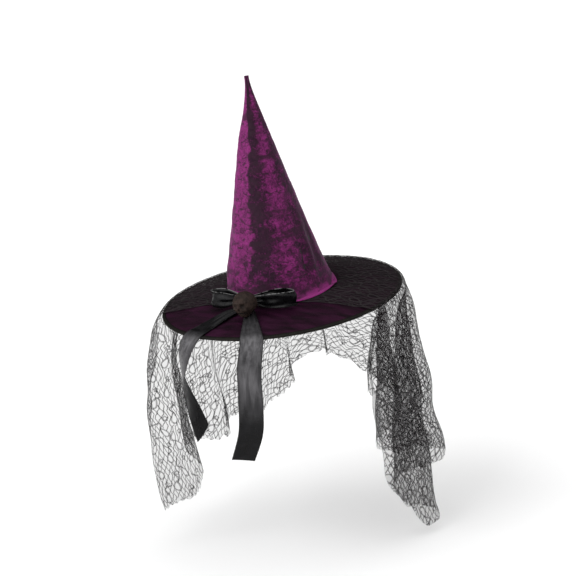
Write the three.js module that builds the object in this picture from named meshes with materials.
// A pointed fancy-dress hat: a velvet cone on a stiff round brim, with a lace veil that lies over
// the brim and hangs from its edge, and a satin ribbon bow with a small skull at the front.
//
// Millimetres and degrees, +Z up the cone. The origin is the centre of the head opening, in the
// plane of the brim's underside there. The bow is towards -Y, the wearer's front. Left and right
// in names are as seen by someone facing the wearer, so left is -X.
import * as THREE from 'three';

const DEG = Math.PI / 180;
const GAP = 0.3; // left between pieces that touch
const LAY_GAP = 1.4; // left under the veil and the ribbon, which lie loose on the brim

// Brim: a flat ring round the opening, then a gentle slope down to the rim.
const OPENING_RADIUS = 88;
const FLAT_RADIUS = 118;
const RIM_RADIUS = 198; // the circle that the edge wire follows
const RIM_DROP = 14.5;
const DROP_POWER = 1.3;
const CORE_THICKNESS = 1.6;
const CLOTH_THICKNESS = 0.5;
const CORE_SETBACK = 3.5; // from the wire to the edge of the core
const WIRE_RADIUS = 1;
const BINDING_THICKNESS = 0.6;
const BINDING_WIDTH = 4.5; // what shows on each face of the brim
const BRIM_SEGMENTS = 40;

// Crown: the cone's outside, with its lower edge turned out onto the brim.
const TIP_HEIGHT = 358.5;
const APEX_HEIGHT = 354; // where the straight cone would come to a point
const CONE_SLOPE = 0.25; // radius gained for each millimetre down from the apex
const TIP_RADIUS = 3.9;
const FLARE = 6;
const FLARE_HEIGHT = 8;
const VELVET_THICKNESS = 1.1;
const WADDING = 1.1; // loose space between the velvet and the stiffener
const STIFFENER_THICKNESS = 2.2;
const STIFFENER_TOP = 320;
const CREASE_DEPTH = 0.13; // of the radius, at the pressed creases down the front and the back
const CREASE_WIDTH = 28;
const CREASE_FADE = [30, 110]; // heights between which the creases grow out of the round base
const CROWN_SEGMENTS = 36;
const FOOT_LEVELS = [9, 14, 24]; // heights of the section's corners, where the foot turns out
const CONE_LEVELS = [60, 110, 220];
const TIP_LEVELS = [320, 338, 350];
const BAND_HEIGHT = 26;
const BAND_THICKNESS = 1.2;

// Veil: one flat sheet, cut straight in front and rounded behind. Flat places are in its own
// frame, x along the front edge and y to the back, turned by VEIL_TURN from the hat's frame.
const VEIL_TURN = 8.4;
const VEIL_FRONT = 81; // from the hat's centre forward to the straight edge
const VEIL_THICKNESS = 0.8;
const VEIL_INNER_RADIUS = 96;
const HEM = [
  [372, -81], [391, -50], [402, -40], [547, -42], [590, -10], [622, 26], [604, 74], [580, 135],
  [505, 220], [440, 310], [350, 400], [235, 420], [130, 388], [30, 380], [-60, 378], [-170, 375],
  [-290, 345], [-418, 250], [-490, 150], [-535, 60], [-580, -10], [-602, -81],
];
// Hat angles at which the folds stand furthest out and in, by turns, starting with out.
const FOLDS = [-20, 2, 13, 25, 39, 55, 72, 92, 112, 136, 155, 165, 174, 185, 197];
const FOLD_FULLNESS = [0.8, 1]; // usual, and in the close folds on the right
const FOLD_ONSET = 30; // how far below the rim the folds have formed
const STRAIGHT_DROP = 8; // how far the cloth falls past the binding before it folds
const HANG_RADIUS = 203;
const HANG_START = 0.6; // height above the rim's middle at which the hanging parts begin
const FLARE_FRONT = 3; // how far the folds stand out beyond the rim
const FLARE_BACK = 15;
const FLARE_LEFT = 78;
const FLARE_LENGTH = [55, 110]; // how far below the rim most of the flare is reached, and on the left
const LEAN = 0.05; // how much further out the right folds lean for each millimetre of cloth below the rim
const FALL_NAMES = ['right', 'back_right', 'back', 'back_left', 'left'];

// Ribbon, and where its tails cross the rim.
const RIBBON_THICKNESS = 0.8;
const RIBBON_HALF_WIDTH = 19;
const TAIL_ANGLES = { left: 253.8, right: 285.8 };
// Each tail below the rim: depth, outward, sideways, and the turn of its width.
const TAIL_STATIONS = {
  left: [
    [0, 0, 0, 0], [25, 8, -12, 14], [62, 12, -20, 35],
    [100, 11, -21, 52], [140, 8, -15, 68], [172, 5, -8, 74],
  ],
  right: [
    [0, 0, 0, 0], [22, 8, -3, 0], [50, 12, -8, -3],
    [119, 7, -18, -12], [165, 2, -27, -26], [206, 5, -46, -40],
  ],
};
const TAIL_CUT = { left: 14, right: 6 }; // how much shorter the tail's left edge is
const TAIL_START = { left: [-11.5, -114], right: [9, -114] };
const TAIL_START_HALF_WIDTH = { left: 12, right: 7 };

// Bow loops in plan, from the knot round the end and back, and their heights and half widths.
const LOOPS = {
  left: {
    plan: [[-14.5, -107], [-32, -116], [-52, -118], [-64, -110], [-50, -101], [-30, -99.5], [-14.5, -102]],
    rise: 2,
  },
  right: {
    plan: [[14.5, -107], [40, -114], [70, -109], [88, -96], [68, -90], [40, -95], [14.5, -102]],
    rise: 3,
  },
};
const LOOP_HEIGHT = 19.5;
const LOOP_HALF_WIDTH = 14; // the ribbon is gathered in the loops
const KNOT_CENTRE = [0, -104.5, 19];
const KNOT_RADII = [13.5, 7.5, 11];

const SKULL_CENTRE = [17.3, -139.8, 24.8];
const SKULL_RADII = [19.6, 21, 21];
const SKULL_CHIN = [0.35, 0.55]; // how much narrower and shallower the face gets towards the chin

// Colours and finishes.
const VELVET = { color: 0x6b1c62, roughness: 0.75 };
const BUCKRAM = { color: 0x141216, roughness: 0.9 };
const GROSGRAIN = { color: 0x0e0d0f, roughness: 0.7 };
const PLUM_SATIN = { color: 0x35102f, roughness: 0.45 };
const COTTON = { color: 0x0f0e10, roughness: 0.85 };
const STEEL = { color: 0x8a8d90, roughness: 0.35, metalness: 1 };
const BRAID = { color: 0x15130f, roughness: 0.6 };
const LACE = { color: 0x1c191b, roughness: 0.8 };
const BLACK_SATIN = { color: 0x0c0b0e, roughness: 0.35 };
const RESIN = { color: 0x2e2724, roughness: 0.7 };

const lerp = THREE.MathUtils.lerp;
const smoothstep = THREE.MathUtils.smoothstep;

// ---- Brim surface ----

// The brim's mid-plane height at a radius.
function brimMiddle(radius) {
  const share = Math.max(0, radius - FLAT_RADIUS) / (RIM_RADIUS - FLAT_RADIUS);
  return CORE_THICKNESS / 2 + GAP + CLOTH_THICKNESS - RIM_DROP * share ** DROP_POWER;
}

// A point of the brim's section: (radius, height) raised by lift along the mid-plane's normal.
function brimPoint(radius, lift) {
  const step = 0.5;
  const slope = (brimMiddle(radius) - brimMiddle(radius - step)) / step;
  const normal = new THREE.Vector2(-slope, 1).normalize();
  return new THREE.Vector2(radius, brimMiddle(radius)).addScaledVector(normal, lift);
}

// A point round the rim: at turn 90 it is above the wire, at 0 outside it, at -90 below.
function rimPoint(radius, turn) {
  const up = brimPoint(RIM_RADIUS, 1).sub(brimPoint(RIM_RADIUS, 0));
  const out = new THREE.Vector2(up.y, -up.x);
  return brimPoint(RIM_RADIUS, 0)
    .addScaledVector(out, radius * Math.cos(turn * DEG))
    .addScaledVector(up, radius * Math.sin(turn * DEG));
}

const CORE_LIFT = CORE_THICKNESS / 2;
const CLOTH_LIFT = [CORE_LIFT + GAP, CORE_LIFT + GAP + CLOTH_THICKNESS];
const BINDING_LIFT = [CLOTH_LIFT[1] + GAP, CLOTH_LIFT[1] + GAP + BINDING_THICKNESS];
const RIM_HEIGHT = brimMiddle(RIM_RADIUS);
const CLOTH_TOP = brimMiddle(0) + CLOTH_LIFT[1]; // height of the satin on the flat ring

// The middle of a thin piece that lies on the brim and bends over its edge, at a distance from
// the hat's axis measured along the brim: (radius, height).
function layOnBrim(distance, thickness) {
  const onCloth = CLOTH_LIFT[1] + LAY_GAP + thickness / 2;
  const onBinding = BINDING_LIFT[1] + LAY_GAP + thickness / 2;
  if (distance > RIM_RADIUS) {
    return rimPoint(onBinding, 90 - (distance - RIM_RADIUS) / onBinding / DEG);
  }
  return brimPoint(distance, lerp(onCloth, onBinding, smoothstep(distance, ...LIFT_OFF)));
}
const LIFT_OFF = [150, 172]; // distances between which a laid piece rises to clear the binding
const LAY_END = RIM_RADIUS + 4.8; // where pieces bent over the edge meet their hanging parts
const LAY_ROWS = [FLAT_RADIUS, ...LIFT_OFF, RIM_RADIUS - BINDING_WIDTH, RIM_RADIUS, LAY_END];
const HANG_HEIGHT = RIM_HEIGHT + HANG_START;

// ---- Solids ----

function solid(points, triangles) {
  const geometry = new THREE.BufferGeometry();
  const numbers = points.flatMap((point) => point.toArray());
  geometry.setAttribute('position', new THREE.Float32BufferAttribute(numbers, 3));
  geometry.setIndex(triangles.flat());
  geometry.computeVertexNormals();
  return geometry;
}

// A closed thin sheet round the middle surface that pointAt(u, v) gives, u and v from 0 to 1.
function sheetSolid(columns, rows, thickness, pointAt) {
  const middle = [];
  for (let i = 0; i <= columns; i++) {
    for (let j = 0; j <= rows; j++) middle.push(pointAt(i / columns, j / rows));
  }
  const at = (i, j) => i * (rows + 1) + j;
  const step = (from, to) => new THREE.Vector3().subVectors(middle[to], middle[from]);
  const across = (i, j) => step(at(Math.max(i - 1, 0), j), at(Math.min(i + 1, columns), j));
  const along = (i, j) => step(at(i, Math.max(j - 1, 0)), at(i, Math.min(j + 1, rows)));
  const top = [];
  const bottom = [];
  for (let i = 0; i <= columns; i++) {
    for (let j = 0; j <= rows; j++) {
      const normal = across(i, j).cross(along(i, j)).normalize();
      top.push(middle[at(i, j)].clone().addScaledVector(normal, thickness / 2));
      bottom.push(middle[at(i, j)].clone().addScaledVector(normal, -thickness / 2));
    }
  }
  const under = top.length;
  const triangles = [];
  const quad = (a, b, c, d) => triangles.push([a, b, c], [a, c, d]);
  for (let i = 0; i < columns; i++) {
    for (let j = 0; j < rows; j++) {
      const [a, b, c, d] = [at(i, j), at(i + 1, j), at(i + 1, j + 1), at(i, j + 1)];
      quad(a, b, c, d);
      quad(under + a, under + d, under + c, under + b);
    }
  }
  const wall = (a, b) => quad(a, under + a, under + b, b);
  for (let i = 0; i < columns; i++) {
    wall(at(i, 0), at(i + 1, 0));
    wall(at(i + 1, rows), at(i, rows));
  }
  for (let j = 0; j < rows; j++) {
    wall(at(columns, j), at(columns, j + 1));
    wall(at(0, j + 1), at(0, j));
  }
  return solid([...top, ...bottom], triangles);
}

// A profile of (radius, height) points turned about Z, anticlockwise round the material.
function turned(profile, segments) {
  return new THREE.LatheGeometry(profile, segments).rotateX(90 * DEG);
}

function closed(profile) {
  return [...profile, profile[0].clone()];
}

const group = new THREE.Group();

function add(name, geometry, finish) {
  const mesh = new THREE.Mesh(geometry, new THREE.MeshStandardMaterial(finish));
  mesh.name = name;
  group.add(mesh);
}

// ---- Crown ----

function coneRadius(height) {
  const cone = CONE_SLOPE * Math.max(0, APEX_HEIGHT - height);
  return Math.hypot(cone, TIP_RADIUS) + FLARE * Math.exp(-(height - CLOTH_TOP) / FLARE_HEIGHT);
}

// How much a radius grows at the pressed creases, and shrinks between them.
function creaseFactor(angle, height) {
  const fromCrease = Math.acos(Math.abs(Math.sin(angle))) / DEG;
  const average = (CREASE_WIDTH / 90) * (1 - Math.exp(-90 / CREASE_WIDTH));
  const shape = Math.exp(-fromCrease / CREASE_WIDTH) - average;
  return 1 + CREASE_DEPTH * smoothstep(height, ...CREASE_FADE) * shape;
}

function crease(geometry) {
  const place = geometry.attributes.position;
  for (let i = 0; i < place.count; i++) {
    const [x, y, z] = [place.getX(i), place.getY(i), place.getZ(i)];
    const factor = creaseFactor(Math.atan2(y, x), z);
    place.setXYZ(i, x * factor, y * factor, z);
  }
  return geometry;
}

const ring = (radius, height) => new THREE.Vector2(radius, height);
const STIFFENER_INSET = VELVET_THICKNESS + WADDING;
const stiffenerRadius = (height) => Math.min(coneRadius(height) - STIFFENER_INSET, OPENING_RADIUS + 1.5);

function crownVelvet() {
  const bottom = CLOTH_TOP + GAP;
  const levels = [...FOOT_LEVELS, ...CONE_LEVELS];
  const heights = [bottom + 1.2, ...levels, ...TIP_LEVELS];
  const inside = [bottom + 0.8, ...levels, 330];
  const edge = coneRadius(bottom) + 0.5;
  return crease(turned([
    ring(0, TIP_HEIGHT - 10),
    ...inside.reverse().map((height) => ring(coneRadius(height) - VELVET_THICKNESS, height)),
    ring(edge - 1.6, bottom),
    ring(edge, bottom),
    ...heights.map((height) => ring(coneRadius(height), height)),
    ring(TIP_RADIUS * 0.7, TIP_HEIGHT - 1),
    ring(0, TIP_HEIGHT),
  ], CROWN_SEGMENTS));
}

function crownStiffener() {
  const bottom = brimMiddle(0) + CORE_LIFT + GAP;
  const heights = [bottom, 4, ...FOOT_LEVELS, ...CONE_LEVELS, STIFFENER_TOP];
  const wall = (height) => stiffenerRadius(height) - STIFFENER_THICKNESS;
  return crease(turned([
    ring(0, STIFFENER_TOP - 4),
    ...heights.slice(0, -1).reverse().map((height) => ring(wall(height), height)),
    ...heights.map((height) => ring(stiffenerRadius(height), height)),
    ring(0, STIFFENER_TOP),
  ], CROWN_SEGMENTS));
}

function sweatband() {
  const heights = [0.2, 4, ...FOOT_LEVELS, BAND_HEIGHT];
  const wall = (height) => stiffenerRadius(height) - STIFFENER_THICKNESS;
  const outside = (height) => Math.min(wall(height), OPENING_RADIUS - 0.7) - GAP;
  return turned(closed([
    ...heights.map((height) => ring(outside(height), height)),
    ...heights.slice().reverse().map((height) => ring(outside(height) - BAND_THICKNESS, height)),
  ]), CROWN_SEGMENTS);
}

add('crown_velvet', crownVelvet(), VELVET);
add('crown_stiffener', crownStiffener(), BUCKRAM);
add('sweatband', sweatband(), GROSGRAIN);

// ---- Brim ----

// A ring of the brim from one radius to another, between two lifts from its mid-plane.
function brimLayer(inner, outer, low, high) {
  const radii = [inner, FLAT_RADIUS, 155, outer];
  return turned(closed([
    ...radii.map((radius) => brimPoint(radius, low)),
    ...radii.reverse().map((radius) => brimPoint(radius, high)),
  ]), BRIM_SEGMENTS);
}

function edgeBinding() {
  const legs = RIM_RADIUS - BINDING_WIDTH;
  const [inside, outside] = BINDING_LIFT;
  const turns = [-90, -55, -18, 18, 55, 90];
  return turned(closed([
    brimPoint(legs, -outside),
    ...turns.map((turn) => rimPoint(outside, turn)),
    brimPoint(legs, outside),
    brimPoint(legs, inside),
    ...[90, 30, -30, -90].map((turn) => rimPoint(inside, turn)),
    brimPoint(legs, -inside),
  ]), BRIM_SEGMENTS);
}

function edgeWire() {
  const turns = [0, 60, 120, 180, 240, 300];
  return turned(closed(turns.map((turn) => rimPoint(WIRE_RADIUS, turn))), BRIM_SEGMENTS);
}

const CLOTH_OUTER = RIM_RADIUS - CORE_SETBACK + 1;
const VELVET_SEAT = OPENING_RADIUS + 3;
add('brim_core', brimLayer(OPENING_RADIUS, RIM_RADIUS - CORE_SETBACK, -CORE_LIFT, CORE_LIFT), BUCKRAM);
add('brim_satin_top', brimLayer(VELVET_SEAT, CLOTH_OUTER, ...CLOTH_LIFT), PLUM_SATIN);
add('brim_under_cloth', brimLayer(OPENING_RADIUS, CLOTH_OUTER, -CLOTH_LIFT[1], -CLOTH_LIFT[0]), COTTON);
add('brim_edge_wire', edgeWire(), STEEL);
add('brim_edge_binding', edgeBinding(), BRAID);

// ---- Veil ----

const BESSEL_TERMS = 9;
const DEEPEST_BEND = 2.2; // radians; past this a fold would touch itself
const BEND_STEPS = 30;

// Bessel function of the first kind, for the shape of a deep fold.
function bessel(order, x) {
  let term = 1;
  for (let k = 1; k <= order; k++) term *= x / 2 / k;
  let sum = term;
  for (let k = 1; k < BESSEL_TERMS; k++) {
    term *= -((x / 2) ** 2) / k / (k + order);
    sum += term;
  }
  return sum;
}

// The folds' phase at a hat angle, and their wavelength there in radians.
function foldPhase(angle) {
  const last = FOLDS.length - 1;
  const slope = (i) => {
    const low = Math.max(0, i - 1);
    const high = Math.min(last, i + 1);
    return (high - low) / (FOLDS[high] - FOLDS[low]);
  };
  if (angle <= FOLDS[0] || angle >= FOLDS[last]) {
    const i = angle <= FOLDS[0] ? 0 : last;
    return [Math.PI * (i + (angle - FOLDS[i]) * slope(i)), 2 * DEG / slope(i)];
  }
  const i = FOLDS.findIndex((fold) => fold > angle) - 1;
  const width = FOLDS[i + 1] - FOLDS[i];
  const t = (angle - FOLDS[i]) / width;
  const [m0, m1] = [slope(i) * width, slope(i + 1) * width];
  const phase = i + t * m0 + t * t * (3 - 2 * m0 - m1) + t * t * t * (m0 + m1 - 2);
  const rate = (m0 + 2 * t * (3 - 2 * m0 - m1) + 3 * t * t * (m0 + m1 - 2)) / width;
  return [Math.PI * phase, 2 * DEG / rate];
}

// Where the cloth at a hat angle is in plan, at a distance beyond the rim along the cloth.
function foldPlan(angle, beyond) {
  const [phase, wavelength] = foldPhase(angle);
  const right = smoothstep(angle, 8, 28) * (1 - smoothstep(angle, 35, 70));
  const left = smoothstep(angle, 145, 185);
  const flare = lerp(lerp(FLARE_FRONT, FLARE_BACK, smoothstep(angle, 8, 28)), FLARE_LEFT, left);
  const spread = 1 - Math.exp(-beyond / lerp(...FLARE_LENGTH, left));
  const crest = HANG_RADIUS + flare * spread + LEAN * beyond * right;
  const length = RIM_RADIUS + beyond;
  let [low, high] = [0, DEEPEST_BEND];
  for (let i = 0; i < BEND_STEPS; i++) {
    const bend = (low + high) / 2;
    const radius = bessel(0, bend) + bessel(1, bend) * wavelength / Math.PI;
    if (radius * length > crest) low = bend;
    else high = bend;
  }
  const close = smoothstep(angle, 6, 14) * (1 - smoothstep(angle, 32, 46));
  const fullness = lerp(...FOLD_FULLNESS, close) * (1 - Math.exp(-((beyond / FOLD_ONSET) ** 2)));
  const depth = fullness * bessel(1, low) / Math.PI * wavelength * length;
  const sway = fullness * bessel(2, low) / (2 * Math.PI) * wavelength * length;
  const radius = crest - depth * (1 - Math.cos(phase));
  const across = sway * Math.sin(2 * phase);
  const [c, s] = [Math.cos(angle * DEG), Math.sin(angle * DEG)];
  return new THREE.Vector2(radius * c - across * s, radius * s + across * c);
}

// The hanging cloth at a flat place, given as its distance from the hat's axis and hat angle.
function hangingPoint(distance, angle) {
  const steps = 20;
  const step = (distance - RIM_RADIUS) / steps;
  let height = HANG_HEIGHT;
  let place = foldPlan(angle, 0);
  for (let i = 1; i <= steps; i++) {
    const next = foldPlan(angle, i * step);
    const aside = Math.min(next.distanceTo(place), 0.95 * step);
    height -= Math.sqrt(step * step - aside * aside);
    place = next;
  }
  return new THREE.Vector3(place.x, place.y, height);
}

const hemLine = new THREE.SplineCurve(HEM.map((p) => new THREE.Vector2(...p)));
const flatAngle = (p) => Math.atan2(p.y, p.x) / DEG;
const turnOn = (degrees) => (degrees < -90 ? degrees + 360 : degrees);
const HEM_ANGLES = [turnOn(flatAngle(hemLine.getPoint(0))), turnOn(flatAngle(hemLine.getPoint(1)))];
const RIM_CROSSING = Math.asin(VEIL_FRONT / RIM_RADIUS) / DEG;

// The veil's flat place at u round the hem and v from the rim to the hem.
function veilFlat(u, v) {
  const hem = hemLine.getPoint(u);
  const share = (turnOn(flatAngle(hem)) - HEM_ANGLES[0]) / (HEM_ANGLES[1] - HEM_ANGLES[0]);
  const angle = lerp(-RIM_CROSSING, 180 + RIM_CROSSING, share) * DEG;
  return new THREE.Vector2(RIM_RADIUS * Math.cos(angle), RIM_RADIUS * Math.sin(angle)).lerp(hem, v);
}

function veilFall(start, end) {
  const rows = 7;
  return sheetSolid(12, rows, VEIL_THICKNESS, (u, v) => {
    const place = lerp(start, end, u);
    const straight = STRAIGHT_DROP / (veilFlat(place, 1).length() - RIM_RADIUS);
    const flat = veilFlat(place, v === 0 ? 0 : lerp(straight, 1, (v * rows - 1) / (rows - 1)));
    return hangingPoint(flat.length(), turnOn(flatAngle(flat)) + VEIL_TURN);
  });
}

// Where the straight front edge is, measured from the hat's axis, at the veil's columns near it.
const FRONT_REACHES = [
  VEIL_INNER_RADIUS + 8, 112, 124, 142, 165, 185, 190, 194, 197, 198.6, 200, 201.4, LAY_END,
];

function veilTop() {
  const corners = FRONT_REACHES.map((reach) => Math.asin(VEIL_FRONT / reach) / DEG);
  const sweep = 28;
  const end = corners[corners.length - 1];
  const angles = [
    ...corners.map((angle) => 180 + angle),
    ...Array.from({ length: sweep - 1 }, (_, i) => lerp(180 + end, -end, (i + 1) / sweep)),
    ...corners.map((angle) => -angle).reverse(),
  ];
  const rows = [VEIL_INNER_RADIUS, ...LAY_ROWS];
  const last = rows.length - 1;
  return sheetSolid(angles.length - 1, last, VEIL_THICKNESS, (u, v) => {
    const angle = angles[Math.round(u * (angles.length - 1))];
    const front = angle < 0 || angle > 180 ? VEIL_FRONT / Math.abs(Math.sin(angle * DEG)) : Infinity;
    const row = Math.round(v * last);
    const point = layOnBrim(Math.min(rows[row], front - (last - row)), VEIL_THICKNESS);
    const hat = (angle + VEIL_TURN) * DEG;
    return new THREE.Vector3(point.x * Math.cos(hat), point.x * Math.sin(hat), point.y);
  });
}

add('veil_top', veilTop(), LACE);
const SPLIT = 0.0006; // half the gap between neighbouring falls, as a share of the hem
FALL_NAMES.forEach((name, i) => {
  const [start, end] = [i / FALL_NAMES.length + SPLIT, (i + 1) / FALL_NAMES.length - SPLIT];
  add(`veil_fall_${name}`, veilFall(start, end), LACE);
});

// ---- Ribbon ----

// The tail on the brim, from the knot to the rim; u runs along it and v across.
function tailUpper(side) {
  const [x, y] = TAIL_START[side];
  const rows = [0, 134, ...LAY_ROWS.slice(1)];
  return sheetSolid(rows.length - 1, 2, RIBBON_THICKNESS, (u, v) => {
    const aside = 1 - 2 * v;
    const rim = TAIL_ANGLES[side] * DEG + aside * RIBBON_HALF_WIDTH / RIM_RADIUS;
    const start = new THREE.Vector2(x + aside * TAIL_START_HALF_WIDTH[side], y);
    const end = new THREE.Vector2(Math.cos(rim), Math.sin(rim)).multiplyScalar(LAY_END);
    const distance = Math.max(start.length(), rows[Math.round(u * (rows.length - 1))]);
    const point = layOnBrim(distance, RIBBON_THICKNESS);
    const plan = start.clone().lerp(end, (distance - start.length()) / (LAY_END - start.length()));
    plan.setLength(point.x);
    return new THREE.Vector3(plan.x, plan.y, point.y);
  });
}

// The hanging tail; u runs down it and v across. It turns about its top edge.
function tailFall(side) {
  const angle = TAIL_ANGLES[side] * DEG;
  const outward = new THREE.Vector3(Math.cos(angle), Math.sin(angle), 0);
  const sideways = new THREE.Vector3(-Math.sin(angle), Math.cos(angle), 0);
  const stations = TAIL_STATIONS[side];
  const middle = stations.map(([depth, out, side]) => new THREE.Vector3(out, side, -depth));
  const line = new THREE.CatmullRomCurve3(middle, false, 'catmullrom');
  const turns = new THREE.SplineCurve(stations.map((station, i) => new THREE.Vector2(i, station[3])));
  return sheetSolid(10, 2, RIBBON_THICKNESS, (u, v) => {
    const aside = 1 - 2 * v;
    const centre = line.getPoint(u);
    const turn = turns.getPoint(u).y * DEG;
    const half = RIBBON_HALF_WIDTH * aside;
    const cut = TAIL_CUT[side] * u * (1 - aside) / 2;
    return outward.clone().multiplyScalar(HANG_RADIUS + centre.x + half * Math.sin(turn))
      .addScaledVector(sideways, centre.y + half * Math.cos(turn))
      .setZ(HANG_HEIGHT + centre.z + cut);
  });
}

function bowLoop(side) {
  const { plan, rise } = LOOPS[side];
  const line = new THREE.SplineCurve(plan.map((p) => new THREE.Vector2(...p)));
  const order = side === 'left' ? 1 : -1;
  return sheetSolid(14, 2, RIBBON_THICKNESS, (u, v) => {
    const place = line.getPoint(u);
    const out = Math.sin(Math.PI * u);
    const half = lerp(7, LOOP_HALF_WIDTH, smoothstep(out, 0, 0.8));
    return new THREE.Vector3(place.x, place.y, LOOP_HEIGHT + rise * out + order * half * (2 * v - 1));
  });
}

function ball(centre, radii, shape, columns, rows) {
  const geometry = new THREE.SphereGeometry(1, columns, rows).rotateX(90 * DEG);
  const place = geometry.attributes.position;
  const point = new THREE.Vector3();
  const [size, middle] = [new THREE.Vector3(...radii), new THREE.Vector3(...centre)];
  for (let i = 0; i < place.count; i++) {
    shape(point.fromBufferAttribute(place, i));
    place.setXYZ(i, ...point.multiply(size).add(middle));
  }
  return geometry;
}

add('bow_knot', ball(KNOT_CENTRE, KNOT_RADII, () => {}, 12, 8), BLACK_SATIN);
for (const side of ['left', 'right']) {
  add(`bow_loop_${side}`, bowLoop(side), BLACK_SATIN);
  add(`tail_${side}_upper`, tailUpper(side), BLACK_SATIN);
  add(`tail_${side}_fall`, tailFall(side), BLACK_SATIN);
}

// ---- Skull ----

// A round cranium over a narrower face and jaw.
function skullShape(point) {
  const lower = smoothstep(-point.z, 0.05, 1);
  point.x *= 1 - SKULL_CHIN[0] * lower;
  point.y = point.y < 0 ? point.y : point.y * (1 - SKULL_CHIN[1] * lower);
}

add('skull_ornament', ball(SKULL_CENTRE, SKULL_RADII, skullShape, 16, 12), RESIN);

export default group;
